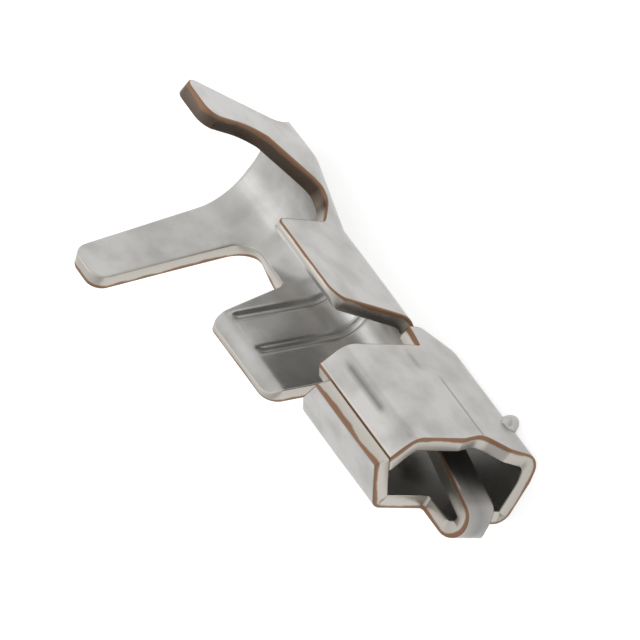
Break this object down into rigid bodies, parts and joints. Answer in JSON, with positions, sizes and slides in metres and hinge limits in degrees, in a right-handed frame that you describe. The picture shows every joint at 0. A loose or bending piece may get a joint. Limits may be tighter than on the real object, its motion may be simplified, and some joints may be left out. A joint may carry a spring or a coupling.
{
  "type": "crimp connector contact",
  "caption": "Folded sheet-metal crimp contact: open insulation barrel, serrated conductor barrel and boxed socket with a folded spring.",
  "frame": {"origin": "underside of the box floor, on the middle plane, below the front edge of the box roof", "axes": "+X from the wire end to the mating end, +Z towards the open side of the crimp barrels"},
  "size_m": [0.0063, 0.0028, 0.0025],
  "materials": {
    "tinned_bronze": "bright tin plating over phosphor bronze, bare bronze at the cut edges"
  },
  "bodies": {
    "root": {"crimp_contact": "tinned_bronze"}
  },
  "joints": []
}
